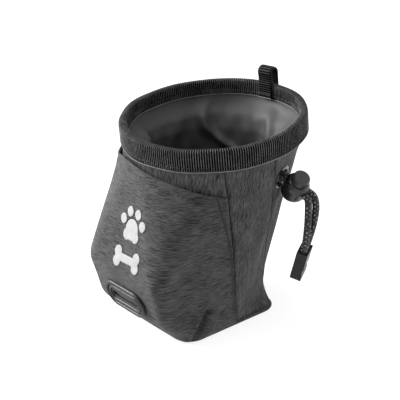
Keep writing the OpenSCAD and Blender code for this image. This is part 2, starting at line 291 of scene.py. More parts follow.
class Nodes:
    """Shorthand for building one material's node tree."""

    def __init__(self, name):
        self.material = bpy.data.materials.new(name)
        self.material.use_nodes = True
        self.tree = self.material.node_tree
        self.shader = self.tree.nodes["Principled BSDF"]

    def add(self, kind, inputs=None, **settings):
        node = self.tree.nodes.new(kind)
        for key, value in settings.items():
            setattr(node, key, value)
        for key, value in (inputs or {}).items():
            self.link(value, node.inputs[key])
        return node

    def link(self, value, socket):
        if isinstance(value, bpy.types.NodeSocket):
            self.tree.links.new(value, socket)
        else:
            socket.default_value = value

    def set(self, **inputs):
        for key, value in inputs.items():
            self.link(value, self.shader.inputs[key.replace("_", " ")])

    def coords(self, kind="Object"):
        return self.add("ShaderNodeTexCoord").outputs[kind]

    def mapped(self, vector, scale):
        return self.add("ShaderNodeMapping", {"Vector": vector, "Scale": scale}).outputs[0]

    def noise(self, vector, scale, detail=3.0, rough=0.6):
        return self.add("ShaderNodeTexNoise", {
            "Vector": vector, "Scale": scale, "Detail": detail, "Roughness": rough,
        }).outputs["Fac"]

    def math(self, operation, a, b=0.0, clamp=False):
        return self.add("ShaderNodeMath", {0: a, 1: b}, operation=operation, use_clamp=clamp).outputs[0]

    def ramp(self, value, low, high, out_low=0.0, out_high=1.0):
        return self.add("ShaderNodeMapRange", {
            "Value": value, "From Min": low, "From Max": high, "To Min": out_low, "To Max": out_high,
        }).outputs[0]

    def mix(self, share, a, b):
        """Colour a where share is 0 and b where it is 1; sockets 0, 6 and 7 are a colour mix's inputs."""
        node = self.add("ShaderNodeMix", data_type="RGBA")
        self.link(share, node.inputs[0])
        self.link(grey(a), node.inputs[6])
        self.link(grey(b), node.inputs[7])
        return node.outputs[2]

    def bump(self, height, strength, distance):
        return self.add("ShaderNodeBump", {
            "Height": height, "Strength": strength, "Distance": distance * MM,
        }).outputs[0]


def grey(value):
    """A neutral colour from one number; sockets and colours pass through."""
    return (value, value, value, 1.0) if isinstance(value, (int, float)) else value


def heather(name, dark, light, streak, kind="UV"):
    """Melange polyester: streaks along one axis over a fine weave; streak scales the cloth's axes."""
    m = Nodes(name)
    at = m.coords()
    lie = m.coords(kind)
    long_streak = m.noise(m.mapped(lie, streak), 1.0, 2.0, 0.55)
    fine_streak = m.noise(m.mapped(lie, tuple(2.3 * s for s in streak)), 1.0, 1.0, 0.5)
    cloud = m.noise(at, 90.0, 2.0)
    value = m.math("ADD", m.math("MULTIPLY", long_streak, 0.5), m.math("MULTIPLY", fine_streak, 0.5))
    value = m.math("ADD", value, m.math("MULTIPLY", m.math("SUBTRACT", cloud, 0.5), 0.12))
    share = m.ramp(value, 0.42, 0.60)
    yarn = m.add("ShaderNodeSeparateXYZ", {0: lie})
    across = m.math("SINE", m.math("MULTIPLY", yarn.outputs[0], 2 * math.pi * YARNS_PER_M))
    along = m.math("SINE", m.math("MULTIPLY", yarn.outputs[1], 2 * math.pi * YARNS_PER_M))
    weave = m.math("MULTIPLY", across, along)
    share = m.math("ADD", share, m.math("MULTIPLY", weave, 0.12), clamp=True)
    fuzz = m.noise(at, 3200.0, 1.0, 0.5)
    height = m.math("ADD", m.math("MULTIPLY", share, 0.5), m.math("MULTIPLY", fuzz, 0.3))
    height = m.math("ADD", height, m.math("MULTIPLY", weave, 0.25))
    m.set(
        Base_Color=m.mix(share, dark, light), Roughness=0.86, Specular_IOR_Level=0.2,
        Sheen_Weight=0.1, Sheen_Roughness=0.45, Normal=m.bump(height, 0.6, 0.25),
    )
    return m.material


def cloth_lining(dark, light):
    """Smooth woven nylon with a soft sheen."""
    m = Nodes("lining_nylon")
    at = m.coords()
    weave = m.noise(at, 2600.0, 1.0)
    slub = m.noise(at, 160.0, 3.0)
    tone = m.ramp(m.math("ADD", m.math("MULTIPLY", slub, 0.7), m.math("MULTIPLY", weave, 0.3)), 0.3, 0.7)
    m.set(
        Base_Color=m.mix(tone, dark, light), Roughness=0.6, Specular_IOR_Level=0.3,
        Sheen_Weight=0.08, Sheen_Roughness=0.4, Normal=m.bump(weave, 0.25, 0.12),
    )
    return m.material


def tape_material(name, dark, light):
    """Grosgrain or webbing: u counts its ribs; the gaps between them are painted black as painted shade and
    their crests painted lighter as a painted highlight; the yarns show across them.
    """
    m = Nodes(name)
    at = m.coords()
    rib_at = m.add("ShaderNodeSeparateXYZ", {0: m.coords("UV")}).outputs[0]
    rib = m.math("COSINE", m.math("MULTIPLY", rib_at, 2 * math.pi))
    yarn = m.noise(at, 1500.0, 2.0)
    wear = m.noise(at, 160.0, 3.0)
    uneven = m.math("MULTIPLY", m.math("SUBTRACT", yarn, 0.5), 1.6)
    # painted light: the colour goes from black in the rib gaps (painted shade) to the lit tone on the crests
    # (painted highlight)
    crest = m.ramp(m.math("ADD", rib, uneven), 0.25, 1.15)
    tone = m.mix(m.ramp(wear, 0.3, 0.7), dark, light)
    m.set(
        Base_Color=m.mix(crest, 0.0, tone), Roughness=0.6,
        Specular_IOR_Level=m.ramp(crest, 0.0, 1.0, 0.03, 0.22),
        Sheen_Weight=m.ramp(crest, 0.0, 1.0, 0.0, 0.06), Sheen_Roughness=0.4,
        Normal=m.bump(m.math("ADD", m.math("MULTIPLY", rib, 0.5), yarn), 0.5, 0.18),
    )
    return m.material


def plain(name, dark, light, rough, metallic=0.0, grain=900.0, bump=0.1, specular=0.5):
    """Moulded plastic, rubber, metal or thread: a fine grain in colour, roughness and surface."""
    m = Nodes(name)
    at = m.coords()
    fine = m.noise(at, grain, 2.0)
    broad = m.noise(at, grain / 9, 2.0)
    m.set(
        Base_Color=m.mix(m.ramp(broad, 0.3, 0.7), dark, light),
        Metallic=metallic, Specular_IOR_Level=specular,
        Roughness=m.ramp(fine, 0.3, 0.7, rough - 0.07, rough + 0.07), Normal=m.bump(fine, 0.3, bump),
    )
    return m.material


def braid(name):
    """Black braid with pale flecks: two families of spiralling yarns cross."""
    m = Nodes(name)
    uv = m.coords("UV")
    parts = m.add("ShaderNodeSeparateXYZ", {0: uv})
    u, v = parts.outputs[0], parts.outputs[1]

    def spiral(sign):
        angle = m.math("ADD", m.math("MULTIPLY", u, sign * BRAID_TURNS), v)
        return m.math("SINE", m.math("MULTIPLY", angle, 2 * math.pi))

    left, right = spiral(1), spiral(-1)
    weave = m.math("MULTIPLY", left, right)
    fleck = m.math("MULTIPLY", m.math("GREATER_THAN", left, 0.0), m.math("GREATER_THAN", right, 0.1))
    pick = m.math("GREATER_THAN", m.noise(m.mapped(uv, (4.0, 0.5, 1.0)), 2.0, 1.0), 0.44)
    m.set(
        Base_Color=m.mix(m.math("MULTIPLY", fleck, pick), 0.004, 0.20), Roughness=0.62,
        Sheen_Weight=0.1, Normal=m.bump(weave, 0.6, 0.3),
    )
    return m.material


SHELL = heather("shell_heather", 0.002, 0.105, VERTICAL)
BASE = heather("base_heather", 0.002, 0.09, EVEN, "Object")
POCKET = heather("pocket_heather", 0.002, 0.090, ACROSS)
LINING = cloth_lining(0.030, 0.038)
TAPE = tape_material("rim_grosgrain", 0.06, 0.15)
WEBBING = tape_material("loop_webbing", 0.02, 0.05)
EDGE = plain("tape_selvedge", 0.13, 0.2, 0.7, grain=1800.0)
THREAD = plain("dark_thread", 0.004, 0.010, 0.6, grain=2500.0)
RUBBER = plain("grommet_rubber", 0.003, 0.006, 0.5, grain=1400.0, bump=0.05)
PRINT = plain("screen_print", 0.27, 0.33, 0.6, grain=2200.0, bump=0.08, specular=0.3)
METAL = plain("eyelet_gunmetal", 0.05, 0.09, 0.26, metallic=1.0, grain=700.0, bump=0.02)
SPRING = plain("spring_wire", 0.5, 0.6, 0.25, metallic=1.0)
LOCK = plain("lock_plastic", 0.004, 0.008, 0.27, grain=1300.0, bump=0.03)
BUTTON = plain("button_plastic", 0.02, 0.03, 0.36, grain=1300.0, bump=0.04)
CORD_END = plain("cord_end_plastic", 0.003, 0.006, 0.36, grain=1100.0, bump=0.03, specular=0.28)
BOARD = plain("base_board", 0.04, 0.06, 0.6)
BRAID = braid("cord_braid")


# ---- Shape of the body ----

def smoothstep(value, low, high):
    t = np.clip((value - low) / (high - low), 0, 1)
    return t * t * (3 - 2 * t)


def soft_interp(value, at, values, reach):
    """Straight lines between knots, rounded over a reach either side."""
    value = np.asarray(value, float)
    return np.mean([np.interp(value + d, at, values) for d in np.linspace(-reach, reach, 9)], axis=0)


def rim_point(phi, r, dz):
    """A point in the rim's tilted frame: phi runs from the front towards +X, dz is height above the rim."""
    x, y = r * np.sin(phi), -r * np.cos(phi)
    c, s = math.cos(RIM_TILT), math.sin(RIM_TILT)
    return np.stack(np.broadcast_arrays(x, RIM_Y + y * c - dz * s, RIM_Z + y * s + dz * c), -1)


def rim_height(phi, r=SHELL_R, dz=-13.0):
    return RIM_Z - r * np.cos(phi) * math.sin(RIM_TILT) + dz * math.cos(RIM_TILT)


def square_radius(phi, half=BASE_HALF):
    """Radius of a square with rounded corners."""
    power = BASE_SQUARENESS
    return half / (np.abs(np.sin(phi)) ** power + np.abs(np.cos(phi)) ** power) ** (1 / power)


def turn_from(phi, centre):
    """Signed angle from centre, within half a turn."""
    return (phi - centre + math.pi) % (2 * math.pi) - math.pi


def corner_pinch(phi, z):
    """How far the cloth falls in along the body's back corners, from the base up to the rim."""
    levels = [0, 3, 8, 15, 25, 45, 64, 82, 96, 103]
    depths = [0, 0.6, 3.8, 6.9, 7.4, 6.9, 6.2, 4.4, 3.2, 1.6]
    depth = soft_interp(z, levels, depths, 2.0)
    corner, width = math.radians(137), math.radians(28)
    right = np.exp(-(turn_from(phi, corner) / width) ** 2)
    left = np.exp(-(turn_from(phi, -corner) / width) ** 2)
    return depth * (right + 0.7 * left)


def soft_waves(phi, z):
    """Slight unevenness of hanging cloth."""
    free = np.sin(np.clip(z / 105.0, 0, 1) * math.pi)
    wave = 0.5 * np.sin(7 * phi + 1.3 + z / 31) + 0.35 * np.sin(13 * phi - z / 17 + 0.6)
    return free * (wave + 0.25 * np.sin(23 * phi + z / 9))


def body_axis(phi, z):
    """Share of the way up to the rim, and the y of the body's axis there."""
    share = (z - BASE_Z) / (rim_height(phi) - BASE_Z)
    return share, AXIS_SHIFT * share


def body_radius(phi, z):
    share, _ = body_axis(phi, z)
    share = np.clip(share, 0, 1)
    radius = (1 - share) * square_radius(phi) + share * SHELL_R
    return radius - corner_pinch(phi, z) + soft_waves(phi, z)


def from_axis(phi, z, radius):
    _, axis_y = body_axis(phi, z)
    return np.stack(np.broadcast_arrays(radius * np.sin(phi), axis_y - radius * np.cos(phi), z), -1)


def seam_phi(seam, z):
    """Angle at which the body's right side crosses a seam plane."""
    low, high = np.full_like(z, math.radians(20)), np.full_like(z, math.radians(170))
    for _ in range(36):
        middle = (low + high) / 2
        y = from_axis(middle, z, body_radius(middle, z))[..., 1]
        before = y < seam[0] - seam[1] * z
        low, high = np.where(before, middle, low), np.where(before, high, middle)
    return (low + high) / 2


def eyelet_offsets(points):
    """Height above the eyelet's plane and distance from its axis."""
    off = points - EYELET_AT
    height = off @ EYELET_DIR
    away = np.linalg.norm(off - height[..., None] * EYELET_DIR, axis=-1)
    return height, away


def flatten_at_eyelet(points):
    """The eyelet clamps the cloth flat around itself."""
    height, away = eyelet_offsets(points)
    hold = (1 - smoothstep(away, 7.2, 14.0)) * (height > -15)
    return points - (height * hold)[..., None] * EYELET_DIR


# ---- Body panels ----

def body_panel(name, start, end, cols, inset=0.0):
    """A panel of cloth between two seam angles, each a function of z; its edges turn in at the seams."""
    rows = 110
    share = np.linspace(0, 1, cols)
    # columns stand closer together at both seams
    across = share - 0.07 * np.sin(2 * math.pi * share) / (2 * math.pi)
    up = np.linspace(0, 1, rows)
    levels = BASE_Z + up * SEAM_H
    left, right = start(levels), end(levels)
    phi = left[:, None] + (right - left)[:, None] * across[None, :]
    top = rim_height(phi)
    z = BASE_Z + up[:, None] * (top - BASE_Z)
    radius = body_radius(phi, z)
    edge = np.minimum(phi - left[:, None], right[:, None] - phi) * radius
    # the seam allowance turns in beside a slight swell, and the foot flares over the welt
    radius = radius - 1.3 * np.exp(-(edge / 0.55) ** 2) + 0.35 * np.exp(-((edge - 2.2) / 1.3) ** 2)
    radius = radius + 0.5 * np.exp(-((z - BASE_Z) / 1.6) ** 2)
    # cloth that lies behind the pocket keeps clear of the pocket's folds
    radius = radius - inset * smoothstep(z, 60, 40) * smoothstep(edge, 0, 4)
    points = from_axis(phi, z, radius)
    tuck = from_axis(phi[0], z[0] - 0.9, radius[0] - 1.5)
    collar = rim_point(phi[-1], SHELL_R - 0.4, -3.0)
    points = flatten_at_eyelet(np.concatenate([tuck[None], points, collar[None]], 0))
    faces = grid_faces(*points.shape[:2])
    flat = points.reshape(-1, 3)
    height, away = eyelet_offsets(flat[np.array(faces)].mean(1))
    open_here = (away < EYELET_HOLE) & (np.abs(height) < 6)
    faces = [face for face, gone in zip(faces, open_here) if not gone]
    uvs = cloth_uvs(np.concatenate([phi[:1], phi, phi[-1:]]), np.concatenate([z[:1] - 2, z, z[-1:] + 10]))
    obj = solidify(new_object(f"{name}_cloth", flat, faces, SHELL, uvs=uvs), SHELL_T)
    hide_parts(name)
    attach(obj, "pouch")


def mirrored(angle):
    return lambda z: 2 * math.pi - angle(z)


def front_edge(z):
    return seam_phi(FRONT_SEAM, z)


def back_edge(z):
    return seam_phi(BACK_SEAM, z)


def build_body():
    body_panel("front_panel", lambda z: -front_edge(z), front_edge, 170, inset=4.4)
    body_panel("right_side_panel", front_edge, back_edge, 60)
    body_panel("left_side_panel", mirrored(back_edge), mirrored(front_edge), 60)
    body_panel("back_panel", back_edge, mirrored(back_edge), 190)


# ---- Pocket ----

def pocket_radius(phi, z):
    """Radius of the bulging pocket about the body's axis."""
    knots = [2.0, 14.0, 41.0, 97.0]
    front = soft_interp(z, knots, [-34.6, -47.6, -54.2, -37.4], 4.0)
    flat = soft_interp(z, knots, [24.5, 26.0, 26.0, 0.0], 4.0)
    corner = soft_interp(z, knots, [10.0, 8.0, 8.0, 46.0], 4.0)
    _, axis_y = body_axis(phi, z)
    sx, cy = np.abs(np.sin(phi)) + 1e-9, np.cos(phi)
    centre_y = front + corner
    to_front = np.where(cy > 1e-6, (axis_y - front) / np.maximum(cy, 1e-6), 1e9)
    on_front = to_front * sx <= flat
    # the corner's circle, seen from the axis: | (sx t - flat, axis_y - cy t - centre_y) | = corner
    a = axis_y - centre_y
    b = sx * flat + cy * a
    c = flat ** 2 + a ** 2 - corner ** 2
    root = b + np.sqrt(np.maximum(b * b - c, 0))
    behind = axis_y - cy * root > centre_y
    to_side = (flat + corner) / sx
    return np.where(on_front, to_front, np.where(behind, to_side, root))


def pocket_surface(phi, z, lift=0.0):
    """The pocket's outer face: whichever stands further out of body and bulge, with a soft change."""
    body = body_radius(phi, z) + 1.5
    bulge = pocket_radius(phi, z)
    softness = 4.0
    radius = 0.5 * (body + bulge + np.sqrt((body - bulge) ** 2 + softness ** 2)) - 0.9
    return from_axis(phi, z, radius + pocket_detail(phi, z) + lift)


def dart_line(side, z):
    """Angle of the sewn dart above one of the base's front corners."""
    return side * np.radians(46 + 0.45 * z)


def pocket_detail(phi, z):
    """Puckers of the cloth, and the sewn darts above the base's front corners."""
    pucker = 0.22 * np.sin(z / 1.9 + 2.5 * np.sin(3 * phi + z / 23)) * smoothstep(np.abs(phi), 0.5, 1.0)
    broad = 0.5 * np.sin(5 * phi + z / 14) * np.sin(np.clip(z / 95, 0, 1) * math.pi)
    dart = 0.0
    for side in (-1, 1):
        line = dart_line(side, z)
        off = side * (phi - line) * DART_R
        open_low = smoothstep(z, 21, 16) * (0.45 + 0.55 * smoothstep(z, 0, 12))
        # the dart's overlapping edge stands proud in front of its fold, and the cloth beyond sinks
        dart = dart + open_low * 1.5 * np.exp(-(np.minimum(off + 0.5, 0) / 5.0) ** 2) * (off < 0.4)
        sunk = smoothstep(off, 0.3, 0.8) * np.exp(-((np.maximum(off, 1.6) - 1.6) / 3.0) ** 2)
        dart = dart - open_low * 3.7 * sunk
        dart = dart + 0.8 * smoothstep(z, 24, 8) * np.exp(-((off - 9) / 3.5) ** 2)
    return pucker + broad + dart


def hem_height(phi):
    """Height of the pocket's mouth: a slant, bowed up over the pocket's front and down at its ends."""
    z = np.full_like(phi, HEM_Z)
    turns = np.radians([-60, -45, -35, -28, -20, -9, 3, 28, 45, 53, 67, 75])
    rises = [-8.5, -8.5, -6.5, -3.4, 0.2, 2.9, 3.2, 3.3, 1.5, 0.1, -1.8, -2.6]
    bow = soft_interp(phi, turns, rises, math.radians(3))
    for _ in range(6):
        z = HEM_Z - HEM_SLOPE * pocket_surface(phi, z)[..., 0] + bow
        z = np.minimum(z, rim_height(phi, dz=-TAPE_H - 1.6))
    return z


def fold_back(z):
    """How far the pocket's side stitching lies in from its seam; it widens towards the mouth."""
    return 2.2 + 3.2 * smoothstep(z, 52, 90)


def pocket_grid():
    """Points of the pocket's outer face from the base to its mouth, with the angle and height of each."""
    rows, cols = 170, 330
    across = np.linspace(-1, 1, cols)
    up = np.linspace(0, 1, rows)
    guess = front_edge(BASE_Z + up * POCKET_H)
    phi = guess[:, None] * across[None, :]
    for _ in range(3):
        z = BASE_Z + up[:, None] * (hem_height(phi) - BASE_Z)
        edge_phi = front_edge(z[:, -1])
        phi = edge_phi[:, None] * across[None, :]
    side = (1 - np.abs(across))[None, :] * edge_phi[:, None] * CLOTH_R
    # the edges turn in at the seam and the base, and the side stitching sinks
    lift = -1.6 * np.exp(-(side / 0.7) ** 2) - 0.7 * np.exp(-((z - BASE_Z) / 0.8) ** 2)
    lift = lift + 0.3 * np.exp(-((side - 2.2) / 1.2) ** 2)
    lift = lift - 0.8 * np.exp(-((side - fold_back(z)) / 0.6) ** 2)
    return pocket_surface(phi, z, lift), phi, z


def build_pocket():
    points, phi, z = pocket_grid()
    normals = grid_normals(points)
    # the hem's edge rolls in
    rolled = [points]
    for depth, drop in ((0.25, -0.15), (0.8, 0.0), (1.25, 0.5), (1.3, 2.0)):
        row = points[-1] - depth * normals[-1]
        row[:, 2] -= drop
        rolled.append(row[None])
    cloth = np.concatenate(rolled, 0)
    extra = len(rolled) - 1
    all_phi = np.concatenate([phi] + [phi[-1:]] * extra)
    all_z = np.concatenate([z] + [z[-1:] + 1 + k for k in range(extra)])
    uvs = cloth_uvs(all_phi, all_z)
    obj = sheet("pocket_cloth", cloth, POCKET, thickness=POCKET_T, uvs=uvs)
    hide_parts("pocket_panel", "pocket_hem")
    pocket_blend(obj)
    pocket_stitches(points, normals)
    for name, side in (("right", 1), ("left", -1)):
        pocket_seams(name, side)
    hem = stitches("hem_stitches", points[-9, 12:-12], normals[-9, 12:-12])
    pocket_blend(hem)


def pocket_stitches(points, normals):
    """Two rows of stitches down each side of the pocket, and the bartacks that end its mouth."""
    for name, column, sign in (("right", -1, 1), ("left", 0, -1)):
        for number, inset in ((1, 4), (2, 9)):
            at = column - sign * inset
            row = stitches(f"pocket_stitches_{name}_{number}", points[3:-3, at], normals[3:-3, at])
            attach(row, "pouch")
        for number in range(3):
            at = column - sign * (5 + 2 * number)
            line, away = points[-14:-1, at], normals[-14:-1, at]
            tack_name = f"pocket_bartack_{name}_{number + 1}"
            tack = stitches(tack_name, line, away, length=1.2, pitch=1.35, radius=0.3)
            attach(tack, "pouch")


def pocket_seams(name, side):
    """Thread in the sunk side stitching, and a near-black thread tube in the dart of one side that also
    serves as painted shade along the dart's crease.
    """
    top = hem_height(np.array([side * 0.9]))[0] - 0.8
    level = np.linspace(6.0, top, 160)
    line = side * (front_edge(level) - fold_back(level) / CLOTH_R)
    seam = tube(f"pocket_seam_{name}", pocket_surface(line, level, -0.35), 0.4, THREAD, sides=8)
    pocket_blend(seam)
    # partly painted shade: the dart's near-black thread tube also stands for the shadow in its crease
    level = np.linspace(2.2, 17.0, 40)
    crease = pocket_surface(dart_line(side, level) + side * 0.028, level, 0.5)
    seam = tube(f"dart_thread_and_shade_{name}", crease, 0.55, THREAD, sides=8)
    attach(seam, "pouch")


def pocket_blend(obj):
    """Bakes the piece's placement into its mesh."""
    blend(obj)


# ---- Print ----

def print_distance(x, y):
    """Signed distance to a paw above a bone."""
    def disc(cx, cy, r):
        return np.hypot(x - cx, y - cy) - r

    parts = [disc(0, 5.6, 6.4)]
    for side in (-1, 1):
        parts += [disc(side * 4.3, 2.2, 3.6), disc(side * 4.1, 15.7, 3.1), disc(side * 9.8, 10.1, 3.1)]
        parts += [disc(side * 9.2, -15.0, 3.5), disc(side * 9.2, -9.4, 3.5)]
    bar = np.maximum(np.abs(x) - 8.4, np.abs(y + 12.2) - 2.4)
    return np.minimum(bar, np.min(parts, axis=0))


def build_print():
    step = 0.5
    x = np.arange(-14, 14 + step, step)
    y = np.arange(-20, 20 + step, step)
    gx, gy = np.meshgrid(x, y)
    # grid points next to the outline move onto it
    h = 0.05
    for _ in range(3):
        d = print_distance(gx, gy)
        nx = (print_distance(gx + h, gy) - print_distance(gx - h, gy)) / (2 * h)
        ny = (print_distance(gx, gy + h) - print_distance(gx, gy - h)) / (2 * h)
        near = np.abs(d) < 0.55 * step
        gx, gy = np.where(near, gx - d * nx, gx), np.where(near, gy - d * ny, gy)
    inside = print_distance(gx, gy) < 0.02
    keep = inside[:-1, :-1] & inside[1:, :-1] & inside[:-1, 1:] & inside[1:, 1:]
    # drop the flat pattern onto the pocket
    px, pz = 0.86 * gx + PRINT_X, 0.92 * gy + PRINT_Z
    phi = np.arctan2(px, PRINT_R)
    for _ in range(12):
        x_now = pocket_surface(phi, pz)[..., 0]
        phi = phi + (px - x_now) / PRINT_R
    points = pocket_surface(phi, pz, 0.12)
    cols = len(x)
    verts = points.reshape(-1, 3)
    faces = []
    for i, j in zip(*np.nonzero(keep)):
        a = int(i * cols + j)
        faces.append((a, a + 1, a + cols + 1, a + cols))
    used = sorted({v for face in faces for v in face})
    index = {v: k for k, v in enumerate(used)}
    obj = new_object("print_paw_and_bone", verts[used], [tuple(index[v] for v in f) for f in faces], PRINT)
    solidify(obj, 0.2, offset=1.0)
    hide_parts("printed_mark")
    pocket_blend(obj)


# ---- Rim ----

def rim_wobble(phi):
    """Unevenness of the sewn tape: how far it stands out, and how high."""
    out = 0.25 * np.sin(5 * phi + 0.7) + 0.18 * np.sin(11 * phi + 2.0)
    up = 0.13 * np.sin(4 * phi + 1.0) + 0.09 * np.sin(9 * phi) - RIM_DIP * np.cos(phi - AZIMUTH)
    return out, up


def build_binding():
    """The ribbed tape folded over the hoop: a closed outline of (radius, height) swept round the rim."""
    per_rib = 6
    phi = np.linspace(0, 2 * math.pi, TAPE_RIBS * per_rib, endpoint=False)
    half = (RIM_R - TAPE_INNER_R) / 2
    crest = RIM_R - half
    # over the top
    arc = []
    for a in np.linspace(0, math.pi, 11):
        reach = math.copysign(abs(math.cos(a)) ** 0.75, math.cos(a))
        arc.append((crest + half * reach, -1.6 + 1.7 * math.sin(a) ** 0.75))
    # the tape's two hidden faces, round the hoop
    hidden_in, hidden_out = 49.7, 52.15
    outer = [(hidden_out, -TAPE_H), (52.75, -TAPE_H - 0.1), (RIM_R + 0.05, -TAPE_H + 0.35)]
    outer += [(RIM_R + 0.05, dz) for dz in (-10.6, -9.9, -9.5, -9.1, -8.4, -7.0, -5.5, -4.0, -2.8)]
    inner = [(TAPE_INNER_R, dz) for dz in (-2.8, -4.5, -5.9, -6.3, -6.7, -7.1, -7.8, -TAPE_INNER_H + 0.3)]
    inner += [(TAPE_INNER_R + 0.2, -TAPE_INNER_H), (hidden_in, -TAPE_INNER_H)]
    inner += [(hidden_in, -3.0), (hidden_out, -3.0)]
    profile = np.array(outer + arc + inner)
    r, dz = profile[:, 0][None, :], profile[:, 1][None, :]
    # ribs stand out from both faces and the top, and each row of stitches pulls a groove
    away = np.sign(r - crest) * (np.abs(r - crest) > 1.0)
    shown = ~((r == hidden_in) | (r == hidden_out))
    rib = np.cos(phi * TAPE_RIBS)[:, None]
    rib_height = 0.24 * rib * shown
    row_at = np.where(r > crest, OUTER_ROW, INNER_ROW)
    row = -0.3 * np.exp(-((dz - row_at) / 0.45) ** 2) * shown
    out, up = rim_wobble(phi)
    on_top = np.exp(-((r - crest) / 2.0) ** 2) * (dz > -2.0)
    points = rim_point(
        phi[:, None], r + away * (rib_height + row) + out[:, None], dz + on_top * rib_height + up[:, None],
    )
    faces = grid_faces(len(phi), len(profile), wrap_rows=True, wrap_cols=True)
    uvs = pairs(phi[:, None] * TAPE_RIBS / (2 * math.pi), dz)
    obj = new_object("rim_tape", points.reshape(-1, 3), faces, TAPE, uvs=uvs)
    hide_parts("rim_binding", "rim_hoop")
    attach(obj, "pouch")


def build_binding_edges():
    """The tape's pale selvedges, and a row of stitches above each."""
    closed = np.linspace(0, 2 * math.pi, 481)
    out, up = rim_wobble(closed)
    selvedges = (("outer", RIM_R - 0.1, -TAPE_H - 0.05), ("inner", TAPE_INNER_R + 0.1, -TAPE_INNER_H))
    for name, radius, low in selvedges:
        ring = rim_point(closed, radius + out, low + up)
        edge = tube(f"rim_tape_edge_{name}", ring, 0.26, EDGE, sides=8, caps=False)
        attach(edge, "pouch")
    rows = (("outer", RIM_R + 0.08, OUTER_ROW, 1), ("inner", TAPE_INNER_R - 0.08, INNER_ROW, -1))
    for name, radius, level, sign in rows:
        ring = rim_point(closed, radius + out, level + up)
        outwards = np.stack([sign * np.sin(closed), -sign * np.cos(closed), 0 * closed], -1)
        row = stitches(f"rim_stitches_{name}", ring, outwards, length=2.2, pitch=3.2, radius=0.26)
        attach(row, "pouch")


def loop_path():
    """Points (radius, height) up inside the rim, over the arch and down outside, and the distance to each."""
    inner_r, outer_r, top = LOOP_INNER_R, LOOP_OUTER_R, LOOP_TOP
    middle, half = (inner_r + outer_r) / 2, (outer_r - inner_r) / 2
    leg_in = [(inner_r, dz) for dz in np.linspace(-7.6, 0, 40)]
    rise = [(inner_r + 0.35 * math.sin(math.pi * t), t * (top - half)) for t in np.linspace(0.02, 1, 40)]
    turn = np.linspace(0.05, math.pi - 0.05, 44)
    arc = [(middle - half * math.cos(a), top - half + half * math.sin(a)) for a in turn]
    fall = [(outer_r, (1 - t) * (top - half)) for t in np.linspace(0, 0.98, 40)]
    leg_out = [(outer_r, dz) for dz in np.linspace(0, -TAPE_H + 0.4, 40)]
    path = np.array(leg_in + rise + arc + fall + leg_out)
    step = distances(path)
    fine = np.arange(0, step[-1], 0.2)
    return np.stack([np.interp(fine, step, path[:, k]) for k in (0, 1)], -1), fine


def build_loop():
    """The webbing strap with ribs across it, thinner at both edges."""
    path, fine = loop_path()
    tangent = np.gradient(path, axis=0)
    tangent /= np.linalg.norm(tangent, axis=1)[:, None]
    away = np.stack([-tangent[:, 1], tangent[:, 0]], -1)
    rib = 0.13 * np.cos(fine * 2 * math.pi / LOOP_RIB)
    width = np.linspace(-LOOP_W / 2, LOOP_W / 2, 15)
    edge = 0.25 * (np.abs(width) / (LOOP_W / 2)) ** 8
    sides = []
    for sign in (1, -1):
        lift = sign * (0.6 + rib[:, None] - edge[None, :])
        r = path[:, 0][:, None] + away[:, 0][:, None] * lift
        dz = path[:, 1][:, None] + away[:, 1][:, None] * lift
        x = np.broadcast_to(width[None, :] if sign > 0 else width[None, ::-1], r.shape)
        sides.append(np.stack([x, r, dz], -1))
    local = np.concatenate(sides, 1)
    along = Vector((math.cos(LOOP_TURN), math.sin(LOOP_TURN), 0))
    along = np.array(Matrix.Rotation(RIM_TILT, 3, "X") @ along)
    _, up = rim_wobble(LOOP_TURN)
    points = rim_point(LOOP_TURN, local[..., 1], local[..., 2] + up) + local[..., 0][..., None] * along
    rows, cols = points.shape[:2]
    faces = grid_faces(rows, cols, wrap_cols=True) + end_caps(rows, cols)
    uvs = pairs(fine[:, None] / LOOP_RIB, local[..., 0])
    obj = new_object("loop_strap", points.reshape(-1, 3), faces, WEBBING, uvs=uvs)
    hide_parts("hang_loop", "hang_loop_tails")
    middle = (LOOP_INNER_R + LOOP_OUTER_R) / 2
    low, high = rim_point(LOOP_TURN, middle, 1.0), rim_point(LOOP_TURN, middle, 6.0)
    blend(obj)
    build_loop_end(along, up)


def build_loop_end(along, up):
    """The folded end of the strap inside the rim, and the bartack above it."""
    inward = -rim_point(LOOP_TURN, 1.0, 0.0) + rim_point(LOOP_TURN, 0.0, 0.0)
    fold_at = rim_point(LOOP_TURN, LOOP_INNER_R - 0.3, -7.5 + up)
    end_bar = fold_at[None] + np.linspace(-4.9, 4.9, 30)[:, None] * along
    bar = tube("loop_folded_end", end_bar, 0.75, WEBBING, sides=14)
    bead = end_bar + 0.85 * inward + np.array([0, 0, -0.35])
    edge_bar = tube("loop_folded_edge", bead, 0.2, EDGE, sides=8)
    for piece in (bar, edge_bar):
        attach(piece, "pouch")
    tack_at = rim_point(LOOP_TURN, LOOP_INNER_R - 0.85, -5.0 + up)
    across = tack_at[None] + np.linspace(-4.4, 4.4, 12)[:, None] * along
    normals = np.repeat(inward[None], len(across), 0)
    for k in range(3):
        row = across + np.array([0, 0, -0.6 * k])
        tack = stitches(f"loop_bartack_{k + 1}", row, normals, length=1.3, pitch=1.45, radius=0.3)
        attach(tack, "pouch")


# ---- Lining ----

def channel_angle(index):
    return TAB_START + index * 2 * math.pi / TAB_COUNT


# Folds of the lining: angle and height of the bend, curve, slant and half width in degrees, depth
FOLDS = (
    (239, 100, -0.085, 0.0, 4.5, 3.6),
    (205, 98, 0.0, -0.85, 12.0, 1.2),
    (177, 98, 0.0, 0.9, 6.0, 2.8),
    (150, 98, 0.0, 0.5, 7.0, 1.6),
    (262, 98, 0.02, -0.5, 8.0, 1.6),
    (305, 98, 0.0, -0.3, 6.0, 5.0),
    (330, 98, 0.0, 0.4, 8.0, 3.0),
    (12, 98, 0.0, -0.4, 8.0, 3.0),
    (48, 98, 0.0, 0.6, 8.0, 3.0),
    (84, 98, 0.0, -0.5, 8.0, 3.0),
    (118, 98, 0.0, 0.3, 7.0, 2.4),
)


